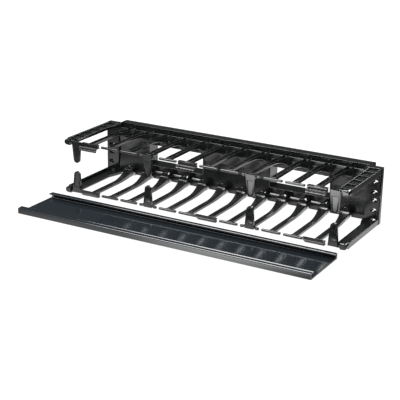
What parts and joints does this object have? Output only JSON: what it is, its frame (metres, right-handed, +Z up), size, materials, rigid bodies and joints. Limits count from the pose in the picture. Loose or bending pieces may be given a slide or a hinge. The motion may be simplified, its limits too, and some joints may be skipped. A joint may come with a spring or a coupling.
{
  "type": "horizontal cable manager",
  "caption": "Rack-mounted horizontal cable manager: a wall with flexible T-ended fingers above and below, retaining tabs, pass-through windows and a hinged clip-on cover.",
  "frame": {"origin": "centre of the rack mounting pattern, on the plane of the flanges' back faces, at mid height", "axes": "+X along the width to the right seen from the front, +Y into the rack, +Z up; the fingers and the cover are on the -Y side"},
  "size_m": [0.4826, 0.269, 0.0882],
  "materials": {
    "comb_plastic": "satin",
    "cover_plastic": "gloss",
    "clip_plastic": "satin"
  },
  "bodies": {
    "frame": {"lower_comb": "comb_plastic", "upper_comb": "comb_plastic", "lower_clip_left": "clip_plastic", "lower_clip_middle": "clip_plastic", "lower_clip_right": "clip_plastic", "upper_clip_left": "clip_plastic", "upper_clip_middle": "clip_plastic", "upper_clip_right": "clip_plastic"},
    "cover": {"cover": "cover_plastic"}
  },
  "joints": [
    {"name": "cover_hinge", "type": "hinge", "parent": "frame", "child": "cover", "pos_m": [0, -0.1545, -0.05205], "axis": [-1, 0, 0], "range_deg": [0, 90]}
  ]
}
